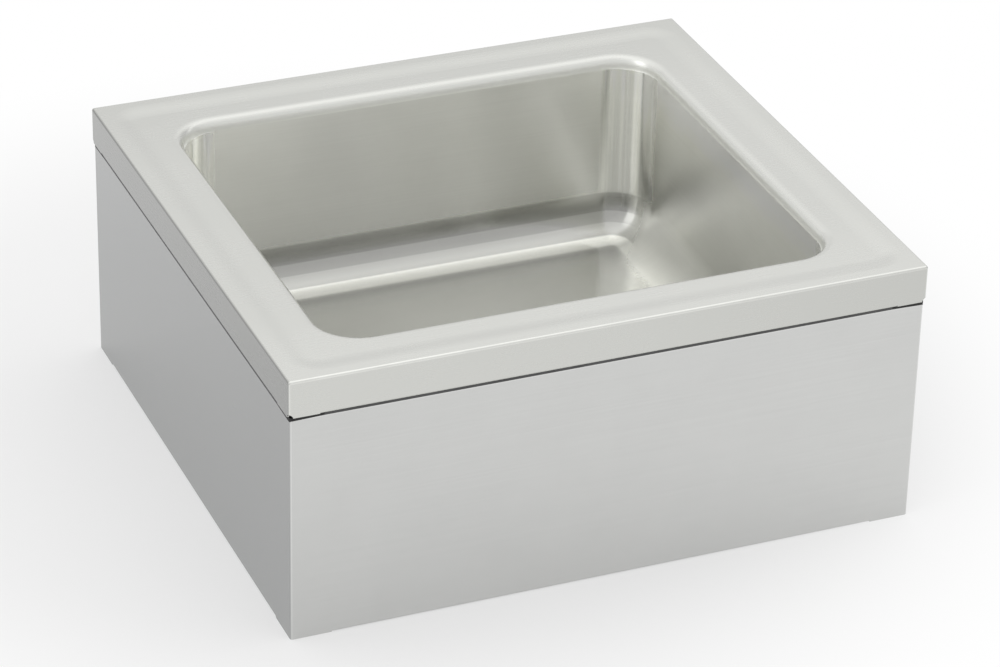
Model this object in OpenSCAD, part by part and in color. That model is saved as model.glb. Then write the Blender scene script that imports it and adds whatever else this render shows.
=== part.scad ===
// Floor-standing mop service sink.
// A drawn stainless bowl is welded under a deck with a raised border and a downturned rim. The deck stands
// on a four-panel skirt, with a dark seam between the two. The drain takes a pipe that comes up from below.
// Origin: middle of the footprint, on the floor. +X to the right, +Y to the rear, +Z up. Millimetres.

/* [Overall] */
// Width over the rim
sink_w = 635; // [500:1:914]
// Depth over the rim, front to rear
sink_d = 584.2; // [480:0.1:762]
// Height from the floor to the top of the raised border
sink_h = 273.05; // [240:0.05:400]

/* [Deck] */
// Thickness of the deck's and the bowl's sheet
sheet_t = 2; // [1.5:0.1:3]
// Height of the downturned rim
rim_h = 38.1; // [30:0.1:60]
// Outside radius of the bend at the rim's top edge and at its vertical corners
rim_bend = 2.5; // [2.2:0.1:4]
// Outside radius of the bend at the rim's lower edge
rim_low_bend = 2.5; // [2.2:0.1:4]
// Width of the flange that turns inward under the rim
rim_flange_w = 25; // [20:1:26]
// Flat width of the raised border
border_flat = 12; // [6:1:16]
// Width of the soft slope from the border down to the deck
border_slope = 22; // [12:1:24]
// How far the deck lies below the border
border_drop = 2.5; // [1:0.1:4]
// Corner radius along the middle of that slope
border_corner = 20; // [14:1:30]

/* [Bowl] */
// Inside width of the bowl
bowl_w = 508; // [400:1:780]
// Inside depth of the bowl, front to rear
bowl_d = 457.2; // [360:0.1:630]
// Height of the border over the floor at the drain
bowl_depth = 203.2; // [150:0.1:210]
// Inside radius of the bowl's vertical corners and of the cove along its floor
bowl_r = 44.45; // [30:0.05:60]
// How far the floor falls from the coves to the drain
floor_fall = 3; // [1:0.5:6]
// Radius of the rounded lip at the bowl's mouth
lip_r = 10; // [6:0.5:12]
// Length of the turned-down lip below the deck, where the bowl is welded on
lip_h = 12.7; // [12.5:0.1:25]
// How much tighter the lip's corners are than the bowl's
corner_step = 2.95; // [0:0.05:3.5]

/* [Skirt] */
// Height of the open seam between rim and skirt, and thickness of the tape set back in it
seam_gap = 1; // [0.5:0.1:2]
// Width of that tape
tape_w = 12; // [10:0.5:14]
// Thickness of the skirt's sheet
skirt_t = 1.5; // [1:0.1:2]
// How far the skirt's faces lie behind the rim's
skirt_inset = 1.5; // [0.5:0.1:4]
// Outside radius of all the skirt's bends
skirt_bend = 2.5; // [2.2:0.1:4]
// Width of the skirt's top flange
top_flange_w = 25; // [20:1:26]
// Width of the skirt's floor flange
floor_flange_w = 38; // [30:1:45]
// How far the flanges along the seam stop short of each corner
corner_relief = 30; // [28:1:45]
// Gap between neighbouring floor flanges
flange_gap = 2; // [1:0.5:5]
// How far the rim's and the skirt's edges stay back from the seam where they have no flange
edge_step = 0.6; // [0.2:0.1:1.5]
// Radius of the round notch in the rim and the skirt where the seam meets a corner
corner_notch = 4.5; // [3:0.5:6]
// Length of the side return bent on the front and rear panels
panel_return = 20; // [12:1:24]
// Leg of the corner angles behind the panels' joints
angle_leg = 40; // [36:1:60]
// Thickness of the corner angles and of the stiffeners
angle_t = 2; // [1.5:0.1:3]

/* [Fasteners] */
// Radius of the flange screws' shanks
screw_r = 2.5; // [2:0.5:4]
// Radial clearance of the screws in their holes
screw_clearance = 0.3; // [0.2:0.1:0.6]
// Distance of the screws from the rim's face
screw_inset = 14; // [12:0.5:16]
// Distance of the end screws from the rim's corners
screw_end = 90; // [60:1:120]
// Number of screws on each side
screws_per_side = 3; // [2:1:5]
// Radius of the floor anchor holes
anchor_r = 5.5; // [4:0.5:7]
// Distance of the anchor holes from the skirt's side faces
anchor_inset = 22; // [18:0.5:24]
// Distance of the anchor holes from the skirt's front and rear faces
anchor_end = 100; // [70:1:140]

/* [Underside] */
// Thickness of the sound-deadening pads
pad_t = 4; // [2:0.5:8]
// Margin between a pad and the bends, channels and welds around it
pad_margin = 10; // [6:1:20]
// Width of the stiffening channels under the floor
channel_w = 32; // [20:1:40]
// Depth of the stiffening channels under the floor's edge
channel_h = 24; // [15:1:35]
// Distance of the channels from the drain's axis
channel_x = 118; // [105:1:130]
// How far the channels stop short of the coves
channel_end = 30; // [10:1:60]

/* [Drain] */
// Radius of the drain hole in the bowl's floor
drain_hole_r = 44.45; // [44:0.05:46]
// Depth of the pressed recess around the hole
recess_depth = 3.5; // [2.5:0.1:5]
// Width of the recess's flat bottom around the hole
recess_flat = 14; // [13:0.5:18]
// Width of the recess's sloped wall
recess_wall = 3; // [2:0.5:5]
// Radial clearance of the drain's barrel in its hole, and of its flange in the recess
drain_clearance = 0.95; // [0.5:0.05:1.5]
// Thickness of the seal under the drain's flange
seal_t = 0.8; // [0.5:0.1:1.5]
// Thickness of the rubber washer under the floor
rubber_t = 3; // [2:0.5:5]
// Thickness of the fibre washer under the rubber one
fibre_t = 1.2; // [0.8:0.1:2]
// Height of the locknut
locknut_h = 10; // [6:0.5:12]
// Radius of the pipe that comes up from the floor
pipe_r = 30.15; // [29:0.05:31]
// Radial clearance of the pipe in its gasket
pipe_clearance = 0.25; // [0.1:0.05:0.5]
// Wall of the pipe gasket
gasket_wall = 8; // [7:0.5:8.5]
// Height of the drain's body
drain_h = 58; // [56:0.5:60]
// Wall of the drain's barrel around the strainer
barrel_wall = 5.5; // [3:0.5:7]
// Width of the drain's flange outside the strainer
flange_border = 10; // [6:0.5:14]
// Radius of the waterway through the strainer's seat
seat_r = 20; // [16:0.5:24]
// Depth of the drain's socket, where the pipe's end stops
socket_h = 22.5; // [20:0.5:24]

/* [Strainer] */
// Room around the strainer's cup
cup_gap = 4; // [2:0.5:6]
// Depth of the strainer's cup
cup_depth = 25; // [20:0.5:27]
// Thickness of the strainer's sheet
cup_t = 1; // [0.8:0.1:1.5]
// Radial gap around the strainer's rim
rim_gap = 1; // [0.5:0.1:2]
// Thickness of the strainer's rim
cup_rim_t = 1.2; // [1:0.1:2]
// Radius of the perforations
hole_r = 2; // [1.5:0.25:2.5]
// Height of the knob's top over the floor of the bowl
knob_top = 14; // [12:0.5:16]
// Radius of the knob
knob_r = 9; // [7:0.5:12]
// Radius of the strainer's post
post_r = 3; // [2:0.5:4]
// Thickness of the rubber stopper under the cup
stopper_t = 3; // [2:0.5:4]
// How far the stopper reaches past the waterway
stopper_lap = 6; // [4.5:0.5:8]
// Gap that lets the strainer lift out freely
lift_gap = 0.3; // [0.2:0.05:0.6]

/* [Hidden] */
$fn = 96;

half_w = sink_w / 2;
half_d = sink_d / 2;
seam_z = sink_h - rim_h;             // underside of the rim
skirt_z = seam_z - seam_gap;         // top of the skirt
deck_z = sink_h - border_drop;       // top of the deck inside the border
floor_z = sink_h - bowl_depth;       // bowl's floor around the drain
cove_z = floor_z + floor_fall;       // bowl's floor where the coves start
weld_z = deck_z - lip_h;             // where the lip ends and the bowl starts
lip_corner = bowl_r - corner_step;   // inside radius of the lip's corners
recess_r = drain_hole_r + recess_flat;
dish_r = recess_r + recess_wall + 2;  // flat ring of the floor around the recess
recess_z = floor_z - recess_depth;
skirt_w2 = half_w - skirt_inset;     // half width over the skirt's faces
skirt_d2 = half_d - skirt_inset;     // half depth over the skirt's faces
floor_relief = floor_flange_w + flange_gap;                    // floor flanges' distance from a corner
slope_axis = border_flat + border_slope / 2 + border_corner;  // inset of the slope's corner axes
slack = 1;                           // how far a cutter runs past what it cuts
thread_gap = 0.1;                    // play between a thread and its nut

// A ring's sector in a section's plane, from angle a0 to a1, less than half a turn
module ring_sector(r_out, r_in, a0, a1) {
    reach = 2 * r_out;
    mid = (a0 + a1) / 2;
    intersection() {
        difference() {
            circle(r_out);
            circle(r_in);
        }
        polygon([[0, 0], reach * [cos(a0), sin(a0)], reach * [cos(mid), sin(mid)],
            reach * [cos(a1), sin(a1)]]);
    }
}

// A rectangle with round corners, whose corner axes stand at (+-ax, +-ay)
module round_rect(ax, ay, r) {
    square([2 * (ax + r), 2 * ay], center = true);
    square([2 * ax, 2 * (ay + r)], center = true);
    for (x = [-ax, ax], y = [-ay, ay])
        translate([x, y])
            circle(r);
}

// Lays a section along +X: its own x points to +Y and its y to +Z, half a length to either side
module run(half_length) {
    translate([-half_length, 0, 0])
        rotate([90, 0, 90])
            linear_extrude(2 * half_length)
                children();
}

// Sweeps a section round a frame. The section's x is the distance out from the corner axes at (+-ax, +-ay)
module sweep_frame(ax, ay) {
    for (side = [0:3]) {
        along = side % 2 == 0 ? ax : ay;
        out = side % 2 == 0 ? ay : ax;
        rotate(90 * side) {
            translate([0, out, 0])
                run(along)
                    children();
            translate([along, out, 0])
                rotate_extrude(angle = 90)
                    children();
        }
    }
}

// Half length of the rim's side number 0 to 3, from the front on, and its distance from the middle
function half_side(side) = side % 2 == 0 ? half_w : half_d;
function side_out(side) = side % 2 == 0 ? half_d : half_w;

// The places of the flange screws on one side, for the side's full length
function screw_places(length) =
    [for (i = [0:screws_per_side - 1]) (i / (screws_per_side - 1) - 0.5) * (length - 2 * screw_end)];

// Places children at every flange screw
module at_screws() {
    for (side = [0:3])
        rotate(90 * side)
            for (x = screw_places(2 * half_side(side)))
                translate([x, screw_inset - side_out(side), 0])
                    children();
}

module screw_holes() {
    at_screws()
        translate([0, 0, seam_z - 20])
            cylinder(r = screw_r + screw_clearance, h = 40);
}

// Room for the bend to a flange, along a panel whose outer face is on y = 0 and whose edge is at z = 0
module bend_room(half_length, t, bend) {
    translate([-half_length, -slack, -slack])
        cube([2 * half_length, t + 2 * slack, bend + slack]);
}

// Round relief where the seam meets the four corners
module corner_notches() {
    for (x = [-half_w, half_w], y = [-half_d, half_d])
        translate([x, y, seam_z])
            sphere(corner_notch);
}

// ---- Deck: border, slope, flat, lip, rim and the flange under the rim ----

module rim_section() {
    translate([0, sink_h - rim_bend])
        ring_sector(rim_bend, rim_bend - sheet_t, 0, 90);
    translate([rim_bend - sheet_t, seam_z + edge_step])
        square([sheet_t, rim_h - rim_bend - edge_step]);
}

// Space under a soft slope: two arcs, convex and then concave, that meet on the line between their centres
module below_slope(turn, centre_r, r_convex, r_concave, margin) {
    outer = slope_axis - border_flat;
    inner = outer - border_slope;
    low = deck_z - 10 - margin;
    top = sink_h - centre_r + r_convex;
    foot = deck_z + centre_r - r_concave;
    mid = [outer - r_convex * sin(turn), sink_h - centre_r + r_convex * cos(turn)];
    difference() {
        union() {
            polygon([[inner - margin, low], [outer + margin, low], [outer + margin, top], [outer, top], mid,
                [inner, foot], [inner - margin, foot]]);
            intersection() {
                translate([outer, sink_h - centre_r])
                    circle(r_convex);
                translate([mid[0], low])
                    square([outer - mid[0], top - low]);
            }
        }
        intersection() {
            translate([inner, deck_z + centre_r])
                circle(r_concave);
            translate([inner, low])
                square([mid[0] - inner, top - low]);
        }
    }
}

module slope_section() {
    turn = 2 * atan(border_drop / border_slope);
    r = border_slope / 2 / sin(turn);
    difference() {
        below_slope(turn, r, r, r, 0);
        below_slope(turn, r, r - sheet_t, r + sheet_t, slack);
    }
}

module lip_section() {
    translate([lip_corner + lip_r, deck_z - lip_r])
        ring_sector(lip_r, lip_r - sheet_t, 90, 180);
    translate([lip_corner, weld_z])
        square([sheet_t, lip_h - lip_r]);
}

// Flange under the rim, with the side's outer face at x = 0
module rim_flange_section() {
    translate([rim_low_bend, seam_z + rim_low_bend])
        ring_sector(rim_low_bend, rim_low_bend - sheet_t, 180, 270);
    translate([rim_low_bend, seam_z])
        square([rim_flange_w - rim_low_bend, sheet_t]);
}

module deck() {
    slope_x = half_w - slope_axis;
    slope_y = half_d - slope_axis;
    lip_x = bowl_w / 2 - lip_corner;
    lip_y = bowl_d / 2 - lip_corner;
    color("gainsboro")
        difference() {
            union() {
                difference() {
                    sweep_frame(half_w - rim_bend, half_d - rim_bend)
                        rim_section();
                    for (side = [0:3])
                        rotate(90 * side)
                            translate([0, -side_out(side), seam_z])
                                bend_room(half_side(side) - corner_relief, sheet_t, rim_low_bend);
                }
                translate([0, 0, sink_h - sheet_t])
                    linear_extrude(sheet_t)
                        difference() {
                            square([sink_w - 2 * rim_bend, sink_d - 2 * rim_bend], center = true);
                            round_rect(slope_x, slope_y, slope_axis - border_flat);
                        }
                sweep_frame(slope_x, slope_y)
                    slope_section();
                translate([0, 0, deck_z - sheet_t])
                    linear_extrude(sheet_t)
                        difference() {
                            round_rect(slope_x, slope_y, border_corner - border_slope / 2);
                            round_rect(lip_x, lip_y, lip_corner + lip_r);
                        }
                sweep_frame(lip_x, lip_y)
                    lip_section();
                for (side = [0:3])
                    rotate(90 * side)
                        translate([0, -side_out(side), 0])
                            run(half_side(side) - corner_relief)
                                rim_flange_section();
            }
            screw_holes();
            corner_notches();
        }
}

// ---- Bowl: walls, coves, falling floor and the drain's recess ----

module bowl_section() {
    translate([bowl_r, cove_z + bowl_r])
        square([sheet_t, weld_z - cove_z - bowl_r]);
    translate([0, cove_z + bowl_r])
        ring_sector(bowl_r + sheet_t, bowl_r, 270, 360);
}

// The space over the floor, from the coves' edge down to the flat ring at the drain, moved by dz
module floor_dish(dz) {
    translate([0, 0, dz])
        hull() {
            translate([bowl_r - bowl_w / 2, bowl_r - bowl_d / 2, cove_z])
                cube([bowl_w - 2 * bowl_r, bowl_d - 2 * bowl_r, 20]);
            translate([0, 0, floor_z])
                cylinder(r = dish_r, h = slack, $fn = 64);
        }
}

module recess_section() {
    under_shift = 1;
    polygon([[dish_r - slack, floor_z], [recess_r + recess_wall, floor_z], [recess_r, recess_z],
        [drain_hole_r, recess_z], [drain_hole_r, recess_z - sheet_t],
        [recess_r + under_shift, recess_z - sheet_t],
        [recess_r + recess_wall + under_shift, floor_z - sheet_t], [dish_r - slack, floor_z - sheet_t]]);
}

module bowl() {
    color("silver") {
        sweep_frame(bowl_w / 2 - bowl_r, bowl_d / 2 - bowl_r)
            bowl_section();
        difference() {
            floor_dish(-sheet_t);
            floor_dish(0);
            translate([0, 0, recess_z - 10])
                cylinder(r = dish_r - slack, h = 40);
        }
        rotate_extrude()
            recess_section();
    }
}

// ---- Skirt ----

// A bend and a flange turned inward, with the panel's outer face at x = 0 and its foot at y = 0
module flange_section(width) {
    translate([skirt_bend, skirt_bend])
        ring_sector(skirt_bend, skirt_bend - skirt_t, 180, 270);
    translate([skirt_bend, 0])
        square([width - skirt_bend, skirt_t]);
}

// Top and floor flanges of a panel with its outer face on y = 0, which reaches half_panel to either side
module panel_flanges(half_panel) {
    run(half_panel - corner_relief)
        translate([0, skirt_z])
            mirror([0, 1])
                flange_section(top_flange_w);
    run(half_panel - floor_relief)
        flange_section(floor_flange_w);
}

// Plan of an angle or of a panel's end: two legs and their bend, whose outer faces meet at the origin
module corner_plan(leg_x, leg_y, t, bend) {
    translate([bend, bend])
        ring_sector(bend, bend - t, 180, 270);
    translate([bend, 0])
        square([leg_x - bend, t]);
    translate([0, bend])
        square([t, leg_y - bend]);
}

// Room for both flanges' bends in such a panel
module panel_bend_rooms(half_panel) {
    bend_room(half_panel - floor_relief, skirt_t, skirt_bend);
    translate([0, 0, skirt_z])
        mirror([0, 0, 1])
            bend_room(half_panel - corner_relief, skirt_t, skirt_bend);
}

// Front panel, bent round both corners with a short return on each side
module wide_panel() {
    color("lightgray")
        difference() {
            union() {
                difference() {
                    linear_extrude(skirt_z - edge_step)
                        for (m = [0, 1])
                            mirror([m, 0])
                                translate([-skirt_w2, -skirt_d2])
                                    corner_plan(skirt_w2, skirt_bend + panel_return, skirt_t, skirt_bend);
                    translate([0, -skirt_d2, 0])
                        panel_bend_rooms(skirt_w2);
                }
                translate([0, -skirt_d2, 0])
                    panel_flanges(skirt_w2);
            }
            screw_holes();
            corner_notches();
        }
}

// Left panel, welded edge to edge between the front and rear panels' returns
module side_panel() {
    length = 2 * (skirt_d2 - skirt_bend - panel_return);
    color("lightgray")
        difference() {
            union() {
                difference() {
                    translate([-skirt_w2, -length / 2, 0])
                        cube([skirt_t, length, skirt_z - edge_step]);
                    translate([-skirt_w2, 0, 0])
                        rotate(-90)
                            panel_bend_rooms(skirt_d2);
                }
                translate([-skirt_w2, 0, 0])
                    rotate(-90)
                        panel_flanges(skirt_d2);
            }
            screw_holes();
            for (y = [-1, 1] * (skirt_d2 - anchor_end))
                translate([anchor_inset - skirt_w2, y, -slack])
                    cylinder(r = anchor_r, h = skirt_t + 2 * slack);
        }
}

// Angle behind the joints of the front-left corner, clear of the flanges above and below
module corner_angle() {
    end_gap = 8;
    color("darkgray")
        translate([skirt_t - skirt_w2, skirt_t - skirt_d2, end_gap])
            linear_extrude(skirt_z - 2 * end_gap)
                corner_plan(angle_leg, angle_leg, angle_t, skirt_bend);
}

// ---- Under the bowl ----

// Left channel, open at the top, with its legs trimmed to the falling floor
module stiffener() {
    length = bowl_d - 2 * (bowl_r + channel_end);
    top = cove_z - sheet_t;
    color("darkgray")
        difference() {
            translate([-channel_x - channel_w / 2, -length / 2, top - channel_h])
                difference() {
                    cube([channel_w, length, channel_h]);
                    translate([angle_t, -slack, angle_t])
                        cube([channel_w - 2 * angle_t, length + 2 * slack, channel_h]);
                }
            floor_dish(-sheet_t);
        }
}

// Pad on the bowl's wall towards -Y, given the bowl's size along that wall and its size across
module wall_pad(along, across) {
    half_length = along / 2 - bowl_r - pad_margin;
    bottom = cove_z + bowl_r + pad_margin;
    color("dimgray")
        translate([-half_length, -across / 2 - sheet_t - pad_t, bottom])
            cube([2 * half_length, pad_t, weld_z - pad_margin - bottom]);
}

// Pad under the floor, in front of the drain and between the channels
module floor_pad() {
    width = 2 * (channel_x - channel_w / 2 - pad_margin);
    near = dish_r + pad_margin;
    far = bowl_d / 2 - bowl_r - pad_margin;
    color("dimgray")
        intersection() {
            difference() {
                floor_dish(-sheet_t - pad_t);
                floor_dish(-sheet_t);
            }
            translate([-width / 2, -far, 0])
                cube([width, far - near, cove_z]);
        }
}

// ---- Tape and fasteners between the rim's and the skirt's flanges ----

module seam_tape() {
    end = corner_relief + 4;
    color("black")
        difference() {
            for (side = [0:3])
                rotate(90 * side)
                    translate([0, screw_inset - side_out(side), skirt_z + seam_gap / 2])
                        cube([2 * (half_side(side) - end), tape_w, seam_gap], center = true);
            screw_holes();
        }
}

washer_t = 1;
washer_r = 2.4 * screw_r;
head_h = 1.4 * screw_r;
nut_h = 1.6 * screw_r;
hex_r = 1.84 * screw_r;              // over the corners of the screw's head and of its nut
screw_end_h = 1.5;                   // how far a screw stands out of its nut

module flange_screws() {
    under = skirt_z - skirt_t - washer_t;
    color("silver")
        at_screws() {
            translate([0, 0, under - head_h])
                cylinder(r = hex_r, h = head_h, $fn = 6);
            translate([0, 0, under])
                cylinder(r = screw_r, h = washer_t + skirt_t + seam_gap + sheet_t + nut_h + screw_end_h);
        }
}

module flange_washers() {
    color("silver")
        at_screws()
            translate([0, 0, skirt_z - skirt_t - washer_t])
                difference() {
                    cylinder(r = washer_r, h = washer_t);
                    translate([0, 0, -slack])
                        cylinder(r = screw_r + screw_clearance, h = washer_t + 2 * slack);
                }
}

module flange_nuts() {
    color("silver")
        at_screws()
            translate([0, 0, seam_z + sheet_t])
                difference() {
                    cylinder(r = hex_r, h = nut_h, $fn = 6);
                    translate([0, 0, -slack])
                        cylinder(r = screw_r + thread_gap, h = nut_h + 2 * slack);
                }
}

// ---- Drain ----

barrel_r = drain_hole_r - drain_clearance;
flange_r = recess_r - drain_clearance;
flange_z = recess_z + seal_t;                    // underside of the drain's flange
ledge_z = floor_z - cup_rim_t - lift_gap;        // ledge that carries the strainer's rim
ledge_r = flange_r - flange_border;
throat_r = barrel_r - barrel_wall;
drain_foot = floor_z - drain_h;
under_z = recess_z - sheet_t;                    // underside of the bowl at the drain
gasket_r = pipe_r + pipe_clearance + gasket_wall;
socket_r = gasket_r + thread_gap;
socket_top = drain_foot + socket_h;
cup_z = floor_z - cup_depth;                     // underside of the strainer's cup
stopper_z = cup_z - stopper_t;
seat_z = stopper_z - lift_gap;                   // top of the stopper's seat
nut_z = under_z - rubber_t - fibre_t;            // top of the locknut

module drain_body() {
    thread_end = nut_z - locknut_h - 4;
    neck_r = max(socket_r, throat_r) + 3.5;
    seat_w = 3;
    bevel = 1.5;
    color("silver")
        rotate_extrude()
            polygon([[flange_r, floor_z], [flange_r, flange_z], [barrel_r, flange_z],
                [barrel_r, thread_end], [neck_r, thread_end - bevel],
                [neck_r, drain_foot], [socket_r, drain_foot], [socket_r, socket_top],
                [seat_r, socket_top], [seat_r, seat_z], [seat_r + seat_w, seat_z],
                [seat_r + seat_w + bevel, seat_z - bevel], [throat_r, seat_z - bevel], [throat_r, ledge_z],
                [ledge_r, ledge_z], [ledge_r, floor_z]]);
}

// A flat ring that stands on height z
module ring(r_out, r_in, z, h) {
    translate([0, 0, z])
        difference() {
            cylinder(r = r_out, h = h);
            translate([0, 0, -slack])
                cylinder(r = r_in, h = h + 2 * slack);
        }
}

washer_play = 0.2;                               // radial play of the washers on the drain's barrel

module drain_flange_seal() {
    color("ivory")
        ring(flange_r, barrel_r + washer_play, recess_z, seal_t);
}

module drain_rubber_washer() {
    color("black")
        ring(barrel_r + 10, barrel_r + washer_play, under_z - rubber_t, rubber_t);
}

module drain_fibre_washer() {
    color("tan")
        ring(barrel_r + 9, barrel_r + washer_play, nut_z, fibre_t);
}

module drain_locknut() {
    wall = 7;
    lug = 5;                         // how far the six lugs stand out, and half their width
    flush = 3;                       // how far the lugs stay below the nut's top
    color("goldenrod")
        difference() {
            union() {
                translate([0, 0, nut_z - locknut_h])
                    cylinder(r = barrel_r + wall, h = locknut_h);
                for (a = [0:60:300])
                    rotate(a)
                        translate([barrel_r + wall / 2, -lug, nut_z - locknut_h])
                            cube([wall / 2 + lug, 2 * lug, locknut_h - flush]);
            }
            translate([0, 0, nut_z - locknut_h - slack])
                cylinder(r = barrel_r + thread_gap, h = locknut_h + 2 * slack);
        }
}

sleeve_h = 6;                                    // thread of the gasket nut inside the socket

module pipe_gasket() {
    color("black")
        ring(gasket_r, pipe_r + pipe_clearance, drain_foot + sleeve_h, socket_h - sleeve_h);
}

module pipe_gasket_nut() {
    head = 6;
    flange = 5;
    slot = 3;                        // half the width of the eight tool slots
    color("goldenrod")
        difference() {
            union() {
                translate([0, 0, drain_foot])
                    cylinder(r = gasket_r, h = sleeve_h);
                translate([0, 0, drain_foot - head])
                    cylinder(r = socket_r + flange, h = head);
            }
            translate([0, 0, drain_foot - head - slack])
                cylinder(r = pipe_r + 1.2, h = head + sleeve_h + 2 * slack);
            for (a = [0:45:315])
                rotate(a)
                    translate([socket_r + flange / 2, -slot, drain_foot - head - slack])
                        cube([flange, 2 * slot, 0.75 * head + slack]);
        }
}

// ---- Strainer, which lifts out of the drain with its knob ----

rim_z = ledge_z + lift_gap;
cup_r = throat_r - cup_gap;
post_top = floor_z + knob_top - 4;
post_low = stopper_z - 6;

module strainer_basket() {
    bend = 4;
    side_top = rim_z - 4;
    side_low = cup_z + bend + 3;
    edge = 0.5;                      // metal between the outer holes and the bend
    first_row = 2 * post_r + 2.25 * hole_r;
    row_pitch = (cup_r - bend - edge - hole_r - first_row) / 2;
    bore_r = post_r + thread_gap;
    color("silver")
        difference() {
            rotate_extrude() {
                translate([cup_r - cup_t, rim_z])
                    square([ledge_r - rim_gap - cup_r + cup_t, cup_rim_t]);
                translate([cup_r - cup_t, cup_z + bend])
                    square([cup_t, rim_z - cup_z - bend]);
                translate([cup_r - bend, cup_z + bend])
                    ring_sector(bend, bend - cup_t, 270, 360);
                translate([bore_r, cup_z])
                    square([cup_r - bend - bore_r, cup_t]);
            }
            for (row = [0:2], i = [1:6 * (row + 1)])
                rotate(i * 60 / (row + 1))
                    translate([first_row + row * row_pitch, 0, cup_z - slack])
                        cylinder(r = hole_r, h = cup_t + 2 * slack);
            for (row = [0:1], i = [1:18])
                rotate(i * 20 + row * 10)
                    translate([cup_r - cup_t - slack, 0, side_low + row * (side_top - side_low)])
                        rotate([0, 90, 0])
                            cylinder(r = hole_r, h = cup_t + 2 * slack);
        }
}

module strainer_post() {
    color("silver")
        translate([0, 0, post_low])
            cylinder(r = post_r, h = post_top - post_low);
}

module strainer_knob() {
    crown = 5;
    neck = 6;
    color("silver")
        difference() {
            union() {
                translate([0, 0, post_top - neck])
                    cylinder(r1 = 1.5 * post_r, r2 = 2 * post_r, h = neck);
                intersection() {
                    translate([0, 0, floor_z + knob_top - 2 * knob_r])
                        sphere(2 * knob_r);
                    translate([0, 0, floor_z + knob_top - crown])
                        cylinder(r = knob_r, h = crown);
                }
            }
            translate([0, 0, post_top - neck - slack])
                cylinder(r = post_r + thread_gap / 2, h = neck + slack);
        }
}

module strainer_stopper() {
    color("black")
        ring(seat_r + stopper_lap, post_r + thread_gap, stopper_z, stopper_t);
}

module strainer_nut() {
    nut_t = 4;
    color("silver")
        translate([0, 0, stopper_z - nut_t])
            difference() {
                cylinder(r = 2 * post_r, h = nut_t, $fn = 6);
                translate([0, 0, -slack])
                    cylinder(r = post_r + thread_gap, h = nut_t + 2 * slack);
            }
}

deck();
bowl();
wide_panel();  // skirt_front
mirror([0, 1, 0]) wide_panel();  // skirt_rear
side_panel();  // skirt_left
mirror([1, 0, 0]) side_panel();  // skirt_right
corner_angle();  // corner_angle_front_left
mirror([1, 0, 0]) corner_angle();  // corner_angle_front_right
mirror([0, 1, 0]) corner_angle();  // corner_angle_rear_left
rotate(180) corner_angle();  // corner_angle_rear_right
stiffener();  // stiffener_left
mirror([1, 0, 0]) stiffener();  // stiffener_right
wall_pad(bowl_w, bowl_d);  // sound_pad_front
rotate(180) wall_pad(bowl_w, bowl_d);  // sound_pad_rear
rotate(-90) wall_pad(bowl_d, bowl_w);  // sound_pad_left
rotate(90) wall_pad(bowl_d, bowl_w);  // sound_pad_right
floor_pad();  // sound_pad_floor_front
rotate(180) floor_pad();  // sound_pad_floor_rear
seam_tape();
flange_screws();
flange_washers();
flange_nuts();
drain_body();
drain_flange_seal();
drain_rubber_washer();
drain_fibre_washer();
drain_locknut();
pipe_gasket();
pipe_gasket_nut();
strainer_basket();
strainer_post();
strainer_knob();
strainer_stopper();
strainer_nut();
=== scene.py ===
from math import radians

import bpy
from mathutils import Euler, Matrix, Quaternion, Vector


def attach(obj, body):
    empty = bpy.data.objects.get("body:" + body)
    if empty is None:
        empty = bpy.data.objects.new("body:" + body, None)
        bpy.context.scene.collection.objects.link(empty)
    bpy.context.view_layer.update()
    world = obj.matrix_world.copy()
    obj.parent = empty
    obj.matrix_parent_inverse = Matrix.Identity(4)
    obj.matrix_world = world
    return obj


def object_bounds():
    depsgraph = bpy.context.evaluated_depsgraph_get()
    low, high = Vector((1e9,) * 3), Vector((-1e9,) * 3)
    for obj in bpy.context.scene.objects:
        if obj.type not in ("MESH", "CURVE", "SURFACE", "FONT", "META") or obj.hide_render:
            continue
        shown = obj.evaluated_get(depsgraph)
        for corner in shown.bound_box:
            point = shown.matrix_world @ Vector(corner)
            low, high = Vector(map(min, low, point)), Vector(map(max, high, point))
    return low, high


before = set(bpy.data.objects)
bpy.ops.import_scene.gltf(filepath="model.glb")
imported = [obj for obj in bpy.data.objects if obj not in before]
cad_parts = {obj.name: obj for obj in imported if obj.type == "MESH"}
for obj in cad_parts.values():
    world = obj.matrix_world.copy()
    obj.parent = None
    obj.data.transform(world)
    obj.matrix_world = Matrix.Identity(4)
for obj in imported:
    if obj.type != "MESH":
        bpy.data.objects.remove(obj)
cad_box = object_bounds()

# ---- Studio ----
# A camera where the photograph was taken from, and a pale floor under a light tent.
# The tent is brightest overhead and a little darker low behind and in front, with an
# upright light at each end.

camera_place = (-1.3646, -3.2537, 2.0880)
camera_turn, camera_dip, camera_tip = -22.86, 29.30, 1.39  # degrees
lens, film_width = 147.79, 36  # millimetres

camera = bpy.data.objects.new("camera", bpy.data.cameras.new("camera"))
bpy.context.collection.objects.link(camera)
camera.location = camera_place
camera.rotation_mode = "QUATERNION"
aim = Euler((radians(90 - camera_dip), 0, radians(camera_turn)))
camera.rotation_quaternion = aim.to_quaternion() @ Quaternion((0, 0, 1), radians(camera_tip))
camera.data.sensor_width = film_width
camera.data.lens = lens
bpy.context.scene.camera = camera
bpy.context.scene.view_settings.view_transform = "Standard"


def add(tree, kind, *inputs, **settings):
    """A new shader node. Each input is a pair: its name or number, and a socket or a value."""
    node = tree.nodes.new("ShaderNode" + kind)
    for key, value in settings.items():
        setattr(node, key, value)
    for key, value in inputs:
        if isinstance(value, bpy.types.NodeSocket):
            tree.links.new(value, node.inputs[key])
        else:
            node.inputs[key].default_value = value
    return node


def maths(tree, operation, *values):
    """One operation on sockets or numbers."""
    return add(tree, "Math", *enumerate(values), operation=operation).outputs[0]


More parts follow.
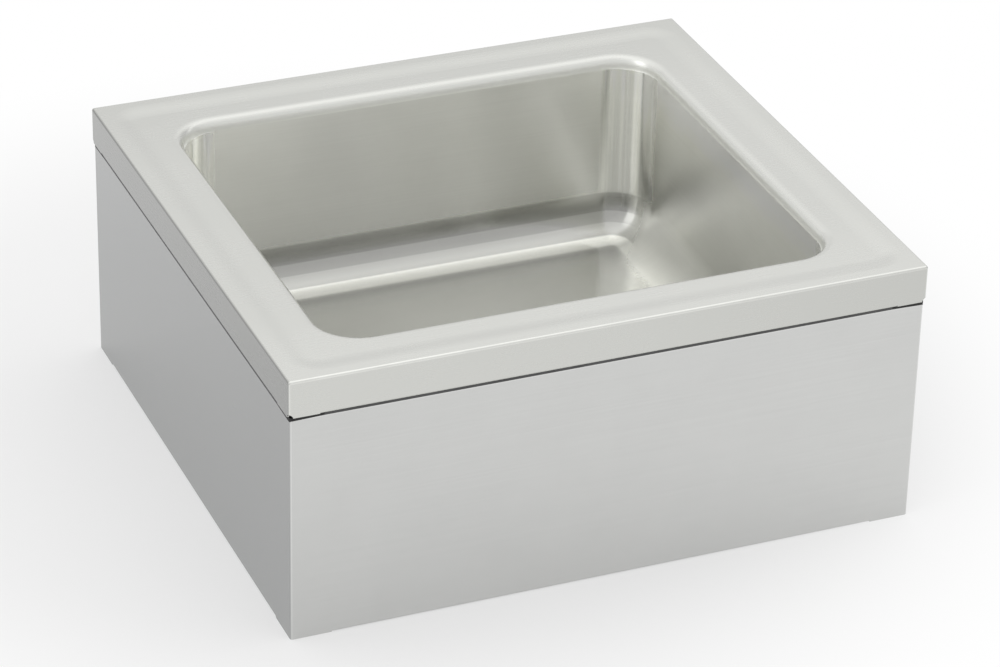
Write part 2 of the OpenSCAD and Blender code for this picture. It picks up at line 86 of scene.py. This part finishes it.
def rise(tree, value, start, end, low=0.0, high=1.0, curve="LINEAR"):
    """Goes from low to high while a value goes from start to end."""
    return add(tree, "MapRange", ("Value", value), ("From Min", start), ("From Max", end),
               ("To Min", low), ("To Max", high), interpolation_type=curve).outputs[0]


def between(tree, value, start, end, soft):
    """1 where a value lies between two limits, with soft edges."""
    return maths(tree, "SUBTRACT", rise(tree, value, start - soft, start + soft),
                 rise(tree, value, end - soft, end + soft))


def ramp(tree, value, stops):
    """Greys or colours along a value. Each stop is a place from 0 to 1 and a level or a colour."""
    node = add(tree, "ValToRGB", ("Fac", value))
    for _ in stops[2:]:
        node.color_ramp.elements.new(0.5)
    for element, (place, level) in zip(node.color_ramp.elements, stops):
        element.position = place
        element.color = (*level, 1) if isinstance(level, tuple) else (level, level, level, 1)
    return node.outputs["Color"]


world = bpy.data.worlds.new("tent")
bpy.context.scene.world = world
world.use_nodes = True
tree = world.node_tree
toward = add(tree, "SeparateXYZ", (0, add(tree, "TexCoord").outputs["Generated"])).outputs
# The roof's levels, from the rear horizon (0) over the top (0.5) to the front horizon (1)
arch = maths(tree, "DIVIDE", maths(tree, "ARCTAN2", toward["Z"], toward["Y"]), radians(180))
roof = ramp(tree, arch, [(0.0, 0.84), (0.05, 0.90), (0.11, 0.88), (0.15, 0.89), (0.178, 1.03), (0.28, 1.08),
                         (0.39, 1.2), (0.5, 1.28), (0.55, 1.2), (0.60, 1.1), (0.69, 1.0), (0.72, 0.9),
                         (0.80, 0.85), (1.0, 0.85)])
# The two ends' levels, from the left (0) to the right (1)
ends = ramp(tree, rise(tree, toward["X"], -1, 1), [(0.3, 0.85), (0.7, 0.65)])
near_end = rise(tree, maths(tree, "ABSOLUTE", toward["X"]), 0.55, 0.92, curve="SMOOTHSTEP")
light = add(tree, "Mix", (0, near_end), (6, roof), (7, ends), data_type="RGBA").outputs[2]
# Each end's lamp: left or right, the degrees towards the rear between which it stands, and its level
lamp_foot, lamp_top = 0.28, 0.80
for end, first, last, level in ((-1, -23, 7, 1.9), (1, -5, 2, 1.6)):
    swing = maths(tree, "ARCTAN2", toward["Y"], maths(tree, "MULTIPLY", toward["X"], end))
    lamp = maths(tree, "MULTIPLY", between(tree, swing, radians(first), radians(last), radians(1.5)),
                 between(tree, toward["Z"], lamp_foot, lamp_top, 0.06))
    light = add(tree, "Mix", (0, lamp), (6, light), (7, (level, level, level, 1)),
                data_type="RGBA").outputs[2]
tree.links.new(light, tree.nodes["Background"].inputs["Color"])

floor_size = 14
shadow_middle = (-0.12, 0.12, 0)
shadow_near, shadow_far = 0.42, 0.80  # between these distances the shadow fades out
least_white = 0.4                     # the share of plain white that is left in the shadow

bpy.ops.mesh.primitive_plane_add(size=floor_size, location=(0, 0, 0))
floor = bpy.context.object
floor.name = "floor"
paper = bpy.data.materials.new("paper")
paper.use_nodes = True
tree = paper.node_tree
tree.nodes.clear()
# Seen directly, mirrored or through glass, the paper is white but for the shadow. All other
# light meets it as matt paper.
off_middle = add(tree, "VectorMath", (0, add(tree, "TexCoord").outputs["Object"]), (1, shadow_middle),
                 operation="SUBTRACT").outputs[0]
away = add(tree, "VectorMath", (0, off_middle), operation="LENGTH").outputs["Value"]
path = add(tree, "LightPath").outputs
seen = maths(tree, "MAXIMUM", maths(tree, "MAXIMUM", path["Is Camera Ray"], path["Is Glossy Ray"]),
             path["Is Transmission Ray"])
white = maths(tree, "MULTIPLY", seen,
              rise(tree, away, shadow_near, shadow_far, low=least_white, curve="SMOOTHSTEP"))
matt = add(tree, "BsdfDiffuse", ("Color", (0.8, 0.8, 0.8, 1)))
glow = add(tree, "Emission", ("Strength", 1.0))
mixed = add(tree, "MixShader", ("Fac", white), (1, matt.outputs[0]), (2, glow.outputs[0]))
add(tree, "OutputMaterial", ("Surface", mixed.outputs[0]))
floor.data.materials.append(paper)

# ---- Deck pressing ----
# Sheet stainless steel, pressed to a raised border and rolled into the bowl's lip.
# Its satin finish is brushed along the sink, and from front to rear on the side rims.

half_w, half_d, border_z = cad_box[1]  # the rim's side and front faces, and the border's top
flat_z = border_z - 0.00255            # just under the deck's flat inside the border
lip_x, lip_y = 0.2620, 0.2365          # where the lip starts to roll down
lip_blend = 0.004
rim_bend = 0.0023                      # how far behind the rim's faces its top bend starts
corner_bend = 0.0021                   # the same for its upright corners
soft = 0.0010                          # how far a change of tone takes on the rim


def place(tree):
    """Where a point lies, as X, Y and Z."""
    return add(tree, "SeparateXYZ", (0, add(tree, "TexCoord").outputs["Object"])).outputs


def beyond(tree, axis, start, end):
    """0 near the middle and 1 beyond a distance from it along one axis."""
    return rise(tree, maths(tree, "ABSOLUTE", place(tree)[axis]), start, end)


def blend(tree, factor, low, high):
    """One value that passes into another."""
    return add(tree, "Mix", (0, factor), (2, low), (3, high)).outputs[0]


def times(tree, *factors):
    """The product of several values."""
    product = factors[0]
    for factor in factors[1:]:
        product = maths(tree, "MULTIPLY", product, factor)
    return product


def larger(tree, one, other):
    """The larger of two values."""
    return maths(tree, "MAXIMUM", one, other)


def rest(tree, value):
    """What a value lacks of 1."""
    return maths(tree, "SUBTRACT", 1.0, value)


def streaks(tree, scale, detail=4.0):
    """Fine brushing: noise that is stretched along the brush's way."""
    stretched = add(tree, "Mapping", ("Vector", add(tree, "TexCoord").outputs["Object"]), ("Scale", scale))
    return add(tree, "TexNoise", ("Vector", stretched.outputs[0]), ("Scale", 1.0), ("Detail", detail),
               ("Roughness", 0.65)).outputs["Fac"]


def brushed_sheet(side_face):
    """Brushing along the sink, and from front to rear on the side faces."""
    along, across = 5, 700
    return lambda tree: blend(tree, beyond(tree, "X", side_face - 0.0015, side_face - 0.0010),
                              streaks(tree, (along, across, across)), streaks(tree, (across, along, across)))


def metal(name, colour, roughness, grain, depth=0.05, spread=0.05, tint=0.03, stretch=0.0):
    """A bare metal whose grain moves its colour, roughness and surface a little."""
    material = bpy.data.materials.new(name)
    material.use_nodes = True
    tree = material.node_tree
    shader = tree.nodes["Principled BSDF"]
    shader.inputs["Metallic"].default_value = 1
    shader.inputs["Anisotropic"].default_value = stretch
    shader.inputs["Anisotropic Rotation"].default_value = 0.25
    grain = grain(tree)
    both = maths(tree, "ADD", grain, streaks(tree, (14, 14, 14), 3.0))
    darker, lighter = (tuple(min(1, c * level) for c in colour) for level in (1 - tint, 1 + tint))
    shade = ramp(tree, maths(tree, "MULTIPLY", both, 0.5), [(0.3, darker), (0.7, lighter)])
    tree.links.new(shade, shader.inputs["Base Color"])
    rough = rise(tree, both, 0.6, 1.4, roughness - spread / 2, roughness + spread / 2)
    tree.links.new(rough, shader.inputs["Roughness"])
    bump = add(tree, "Bump", ("Height", grain), ("Strength", depth), ("Distance", 0.0002))
    tree.links.new(bump.outputs[0], shader.inputs["Normal"])
    return material


def recolour(material, factor, level):
    """Where a factor says so, the base colour is multiplied with a number, a colour or a socket."""
    tree = material.node_tree
    colour = tree.nodes["Principled BSDF"].inputs["Base Color"]
    steel = colour.links[0].from_socket
    if isinstance(level, float):
        level = (level, level, level)
    toned = add(tree, "VectorMath", (0, steel), (1, level), operation="MULTIPLY")
    mixed = add(tree, "Mix", (0, factor), (6, steel), (7, toned.outputs[0]), data_type="RGBA",
                clamp_result=True)
    tree.links.new(mixed.outputs[2], colour)


def reface(material, factor, level):
    """Where a factor says so, the roughness is multiplied with a number."""
    tree = material.node_tree
    rough = tree.nodes["Principled BSDF"].inputs["Roughness"]
    satin = rough.links[0].from_socket
    other = add(tree, "Math", (0, satin), (1, level), operation="MULTIPLY", use_clamp=True).outputs[0]
    tree.links.new(blend(tree, factor, satin, other), rough)


def dress(material, *names):
    """Gives CAD nodes a material in place of their first one."""
    for name in names:
        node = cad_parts[name]
        node.data.materials.clear()
        node.data.materials.append(material)


deck_steel = metal("satin_deck", (0.66, 0.664, 0.635), 0.27, brushed_sheet(half_w), depth=0.005, spread=0.03,
                   tint=0.01, stretch=0.6)
tree = deck_steel.node_tree
# Painted shade: the top gets darker from the front (0) to the rear (1).
recolour(deck_steel, beyond(tree, "Z", flat_z - 0.0005, flat_z),
         ramp(tree, rise(tree, place(tree)["Y"], -half_d, half_d),
              [(0.0, 1.05), (0.25, 1.0), (0.75, 1.0), (1.0, 0.94)]))
# Painted shade: the rim's side faces are darker.
recolour(deck_steel, beyond(tree, "X", half_w - 0.0011, half_w - 0.0003), (0.55, 0.55, 0.56))
# Painted highlight: the lip is a little lighter than the deck, and its lower end is lighter again. The lower
# end is also rougher.
inside = times(tree, rest(tree, beyond(tree, "X", lip_x, lip_x + lip_blend)),
               rest(tree, beyond(tree, "Y", lip_y, lip_y + lip_blend)))
lip_end = times(tree, inside, rest(tree, beyond(tree, "Z", flat_z - 0.012, flat_z - 0.003)))
recolour(deck_steel, times(tree, inside, rest(tree, beyond(tree, "Z", flat_z - soft, flat_z))), 1.06)
recolour(deck_steel, lip_end, 1.35)
reface(deck_steel, lip_end, 2.4)
# The front and rear edges and the upright ones are handled most and are smoother, in uneven
# lengths, with a painted highlight that makes them brighter. The side edges get painted shade.
top_bend = beyond(tree, "Z", flat_z - 0.0003, flat_z + 0.0007)
short_edges = times(tree, beyond(tree, "X", half_w - rim_bend, half_w - rim_bend + soft), top_bend)
recolour(deck_steel, short_edges, 0.78)
corners = times(tree, beyond(tree, "X", half_w - corner_bend, half_w - corner_bend + soft),
                beyond(tree, "Y", half_d - corner_bend, half_d - corner_bend + soft))
long_edges = times(tree, beyond(tree, "Y", half_d - rim_bend, half_d - rim_bend + soft), top_bend)
patchy = rise(tree, streaks(tree, (25, 25, 25), 3.0), 0.3, 0.6, low=0.6)
wear_and_highlight = times(tree, larger(tree, long_edges, corners), patchy)
recolour(deck_steel, wear_and_highlight, 1.18)
# Painted shade: the front and rear faces get darker from the left (0) to the right (1).
recolour(deck_steel, beyond(tree, "Y", half_d - rim_bend, half_d - 0.0006),
         ramp(tree, rise(tree, place(tree)["X"], -half_w, half_w), [(0.0, 0.99), (0.5, 0.95), (1.0, 0.88)]))
reface(deck_steel, wear_and_highlight, 0.6)
dress(deck_steel, "deck")

# ---- Bowl ----
# Drawn from one stainless sheet: walls brushed level all round, the floor brushed along
# the sink, and the long coves buffed. A weld under the lip joins it to the deck.

bowl_x, bowl_y = 0.2540, 0.2286      # half its inside width and depth
corner_x, corner_y = 0.2096, 0.1842  # where its upright corners start
cove_z, wall_z = 0.070, 0.119        # just below the coves' foot, and just above their top

bowl_steel = metal("satin_bowl", (0.76, 0.762, 0.727), 0.30,
                   lambda tree: blend(tree, beyond(tree, "Z", 0.076, 0.105), streaks(tree, (5, 500, 5)),
                                      streaks(tree, (5, 5, 500))), depth=0.03, stretch=0.95)
tree = bowl_steel.node_tree
# The coves are buffed along the front and rear, and satin along the sides, with a soft
# change that starts on the corners' diagonals.
skew = maths(tree, "SUBTRACT", *(maths(tree, "ABSOLUTE", place(tree)[axis]) for axis in "XY"))
past = rise(tree, skew, bowl_x - bowl_y, bowl_x - bowl_y + 0.04, curve="SMOOTHSTEP")
side = times(tree, past, beyond(tree, "X", 0.15, 0.225))
wall = beyond(tree, "Z", wall_z - 0.006, wall_z)
reface(bowl_steel, rest(tree, larger(tree, wall, side)), 0.6)
# Painted reflections: level bands round the floor's edge and up the cove, which starts at 0.057
bands = ramp(tree, beyond(tree, "Z", cove_z, cove_z + 0.05), [
    (0.05, 0.92), (0.056, 0.78), (0.061, 0.80), (0.066, 1.31), (0.14, 1.31), (0.16, 0.70), (0.325, 0.66),
    (0.335, 0.54), (0.52, 0.56), (0.535, 0.43), (0.60, 0.45), (0.70, 0.56), (0.895, 0.66), (0.915, 0.9)])
recolour(bowl_steel, rest(tree, side), bands)
# Painted light: the walls get lighter upwards and towards their ends.
recolour(bowl_steel, wall, ramp(tree, beyond(tree, "Z", 0.117, 0.26), [(0.0, 1.0), (0.5, 1.1), (1.0, 1.2)]))
recolour(bowl_steel, times(tree, beyond(tree, "X", 0.08, 0.20), beyond(tree, "Z", 0.12, 0.25)), 1.17)
# Painted light and shade: the side coves and side walls are lighter at the rear (1) than in front (0).
rearward = rise(tree, place(tree)["Y"], -0.2, 0.2)
side_cove = times(tree, past, beyond(tree, "X", 0.200, 0.228), rest(tree, beyond(tree, "Z", 0.12, 0.17)))
recolour(bowl_steel, side_cove, ramp(tree, rearward, [(0.0, 0.88), (0.45, 0.92), (0.7, 1.18), (1.0, 1.25)]))
recolour(bowl_steel, times(tree, side, beyond(tree, "Z", 0.12, 0.22)),
         ramp(tree, rearward, [(0.0, 0.80), (0.18, 0.85), (0.45, 0.95), (0.6, 1.0)]))
# The drawn corners are smoother, with upright marks from the die, painted lighter as a streaky highlight.
drawn = times(tree, beyond(tree, "X", corner_x, corner_x + 0.0044),
              beyond(tree, "Y", corner_y, corner_y + 0.0044), wall)
recolour(bowl_steel, drawn, ramp(tree, streaks(tree, (260, 260, 2), 2.0), [(0.35, 1.0), (0.65, 1.15)]))
reface(bowl_steel, drawn, 0.7)
dress(bowl_steel, "bowl")

# ---- Skirt ----
# Four panels of thinner stainless sheet, brushed level, that stand on their own inward
# flanges. The front and rear ones are bent round the corners and welded to the sides.

skirt_x, skirt_y = half_w - 0.0015, half_d - 0.0015  # its side and front faces
skirt_z = border_z - 0.0391                          # its top

skirt_steel = metal("satin_skirt", (0.62, 0.623, 0.612), 0.25, brushed_sheet(skirt_x), depth=0.03,
                    stretch=0.6)
tree = skirt_steel.node_tree
# Painted shade: the side panels are darker.
recolour(skirt_steel, beyond(tree, "X", skirt_x - 0.0014, skirt_x - 0.0004), (0.62, 0.624, 0.632))
# Painted highlight along the upright corners and the top bend.
corners = times(tree, beyond(tree, "X", skirt_x - 0.0022, skirt_x - 0.0010),
                beyond(tree, "Y", skirt_y - 0.0022, skirt_y - 0.0010))
top_bend = beyond(tree, "Z", skirt_z - 0.00275, skirt_z - 0.00175)
recolour(skirt_steel, larger(tree, corners, top_bend), 1.2)
dress(skirt_steel, "skirt_front", "skirt_rear", "skirt_left", "skirt_right")

# ---- Seam tape ----
# A strip of black foam tape on each side, stuck to the skirt's top flange. The flange
# screws press the deck's flange down on it.


def plain(name, dark, light, low, high, scale=(60, 60, 60), depth=0.2, height=0.0005):
    """A matt material that isn't metal: two shades, a range of roughness and a fine relief."""
    material = bpy.data.materials.new(name)
    material.use_nodes = True
    tree = material.node_tree
    shader = tree.nodes["Principled BSDF"]
    coarse = streaks(tree, scale, 6.0)
    tree.links.new(ramp(tree, coarse, [(0.35, dark), (0.65, light)]), shader.inputs["Base Color"])
    tree.links.new(rise(tree, coarse, 0.3, 0.7, low, high), shader.inputs["Roughness"])
    fine = streaks(tree, tuple(8 * s for s in scale), 2.0)
    bump = add(tree, "Bump", ("Height", fine), ("Strength", depth), ("Distance", height))
    tree.links.new(bump.outputs[0], shader.inputs["Normal"])
    return material


dress(plain("foam_tape", (0.012, 0.012, 0.012), (0.03, 0.03, 0.03), 0.7, 0.9), "seam_tape")

# ---- Seam shadow strip ----
# A dark strip in the groove between the rim's bend and the skirt's, all the way round: painted
# shadow of the seam. It is smoothed flush with the skirt's faces, and thickest and darkest at the corners.

strip_x, strip_y = skirt_x + 0.0001, skirt_y + 0.0001
strip_corner = 0.0026
end_x, end_y = 0.2835, 0.2580  # where the thicker corners start
# Its section: how far in from its outer face, and how far up from the skirt's top
section = ((0.0005, 0.00105), (0.0011, 0.00098), (0.0025, 0.00098), (0.0025, 0.00002), (0.0022, 0.0),
           (0.0015, -0.00023), (0.0009, -0.00063), (0.0005, -0.0011), (0.0001, -0.0014), (0.0, -0.0013),
           (0.0, 0.00115))

bpy.ops.object.select_all(action="DESELECT")
bpy.ops.mesh.primitive_plane_add(size=2)
shadow_strip = bpy.context.object
shadow_strip.name = "seam_shadow_strip"
inset, height = section[-1]
bpy.ops.object.mode_set(mode="EDIT")
bpy.ops.transform.resize(value=(strip_x, strip_y, 1))
bpy.ops.transform.translate(value=(0, 0, skirt_z + height))
bpy.ops.mesh.bevel(offset=strip_corner, segments=4, affect="VERTICES")
bpy.ops.mesh.delete(type="ONLY_FACE")
bpy.ops.mesh.select_all(action="SELECT")
for next_inset, next_height in section:
    narrower = [(half - next_inset) / (half - inset) for half in (strip_x, strip_y)]
    bpy.ops.mesh.extrude_region_move()
    bpy.ops.transform.resize(value=(*narrower, 1), center_override=(0, 0, 0))
    bpy.ops.transform.translate(value=(0, 0, next_height - height))
    inset, height = next_inset, next_height
bpy.ops.mesh.select_all(action="SELECT")
bpy.ops.mesh.remove_doubles(threshold=0.00001)
cuts = [((x, 0, 0), (1, 0, 0)) for x in (end_x, -end_x)]
cuts += [((0, y, 0), (0, 1, 0)) for y in (end_y, -end_y)]
for cut, normal in cuts:
    bpy.ops.mesh.select_all(action="SELECT")
    bpy.ops.mesh.bisect(plane_co=cut, plane_no=normal)
bpy.ops.mesh.normals_make_consistent(inside=False)
# Its lower edge hangs lower on the sides, and lowest at the corners.
lower_edge = skirt_z - 0.00115
for least_x, least_y, drop in ((skirt_x - 0.001, 0, 0.0007), (skirt_x - 0.003, skirt_y - 0.0036, 0.0008)):
    bpy.ops.mesh.select_all(action="DESELECT")
    bpy.ops.object.mode_set(mode="OBJECT")
    for vertex in shadow_strip.data.vertices:
        x, y, z = vertex.co
        vertex.select = z < lower_edge and abs(x) > least_x and abs(y) > least_y
    bpy.ops.object.mode_set(mode="EDIT")
    bpy.ops.transform.translate(value=(0, 0, -drop))
bpy.ops.object.mode_set(mode="OBJECT")
bpy.ops.object.shade_smooth_by_angle()
painted_seam_shadow = plain("painted_seam_shadow", (0.05, 0.05, 0.05), (0.09, 0.09, 0.09), 0.5, 0.7)
tree = painted_seam_shadow.node_tree
# Painted shadow: far darker at the corners.
corners = times(tree, beyond(tree, "X", end_x - 0.001, end_x), beyond(tree, "Y", end_y - 0.001, end_y))
recolour(painted_seam_shadow, corners, 0.15)
shadow_strip.data.materials.append(painted_seam_shadow)
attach(shadow_strip, "root")

# ---- Corner angles and stiffening channels ----
# Folded from hot-dip galvanised sheet, with the zinc's spangle. The angles back the
# skirt's joints, and the channels are welded under the bowl's floor.


def spangle(tree):
    """The zinc's crystals, each of an even tone."""
    cells = add(tree, "TexVoronoi", ("Vector", add(tree, "TexCoord").outputs["Object"]), ("Scale", 140.0))
    return add(tree, "SeparateColor", (0, cells.outputs["Color"])).outputs[0]


dress(metal("galvanised", (0.55, 0.56, 0.57), 0.42, spangle, depth=0.15, spread=0.2, tint=0.18),
      "corner_angle_front_left", "corner_angle_front_right", "corner_angle_rear_left",
      "corner_angle_rear_right", "stiffener_left", "stiffener_right")

# ---- Sound pads ----
# Soft sheets of black bitumen that deaden the drumming of water. They are stuck to the
# outside of the bowl's walls and floor.

dress(plain("bitumen_pad", (0.045, 0.045, 0.047), (0.09, 0.09, 0.09), 0.75, 0.95, (90, 90, 90), 0.5, 0.001),
      "sound_pad_front", "sound_pad_rear", "sound_pad_left", "sound_pad_right",
      "sound_pad_floor_front", "sound_pad_floor_rear")

# ---- Screws, washers and nuts ----
# Plain stainless hardware in the flanges under the rim, which holds deck and skirt
# together. The screws have a rolled thread.


def thread(pitch):
    """Rings across the height, as of a thread. The wave's own pitch is 0.314 m."""
    def rings(tree):
        return add(tree, "TexWave", ("Vector", add(tree, "TexCoord").outputs["Object"]),
                   ("Scale", 0.314 / pitch), ("Distortion", 0.0), bands_direction="Z",
                   wave_profile="SIN").outputs["Fac"]
    return rings


dress(metal("screw_steel", (0.62, 0.62, 0.61), 0.30, thread(0.0008), depth=0.6, tint=0.1), "flange_screws")
dress(metal("washer_steel", (0.62, 0.62, 0.61), 0.32, lambda tree: streaks(tree, (300, 300, 300)), tint=0.06),
      "flange_washers", "flange_nuts")

# ---- Drain ----
# A turned stainless body through the floor, held by a brass locknut over a rubber and a
# fibre washer. A brass nut presses the rubber gasket round the floor pipe.

dress(metal("turned_steel", (0.76, 0.76, 0.75), 0.16, lambda tree: streaks(tree, (8, 8, 700)), depth=0.08),
      "drain_body")
dress(metal("turned_brass", (0.78, 0.60, 0.31), 0.26, lambda tree: streaks(tree, (30, 30, 700)), depth=0.2,
            spread=0.1, tint=0.12), "drain_locknut", "pipe_gasket_nut")
black_rubber = plain("black_rubber", (0.018, 0.018, 0.018), (0.04, 0.04, 0.04), 0.55, 0.8)
dress(black_rubber, "drain_rubber_washer", "pipe_gasket")
dress(plain("flange_seal", (0.70, 0.68, 0.62), (0.82, 0.80, 0.74), 0.6, 0.8), "drain_flange_seal")
dress(plain("fibre", (0.42, 0.29, 0.16), (0.60, 0.45, 0.28), 0.7, 0.9, (200, 200, 600)), "drain_fibre_washer")

# ---- Strainer ----
# A perforated cup of polished stainless steel with a turned knob on its post. It lies
# loose in the drain, and a nut holds the rubber stopper under it.

dress(metal("polished_steel", (0.80, 0.80, 0.79), 0.10, lambda tree: streaks(tree, (20, 20, 600))),
      "strainer_basket", "strainer_post", "strainer_knob", "strainer_nut")
dress(black_rubber, "strainer_stopper")
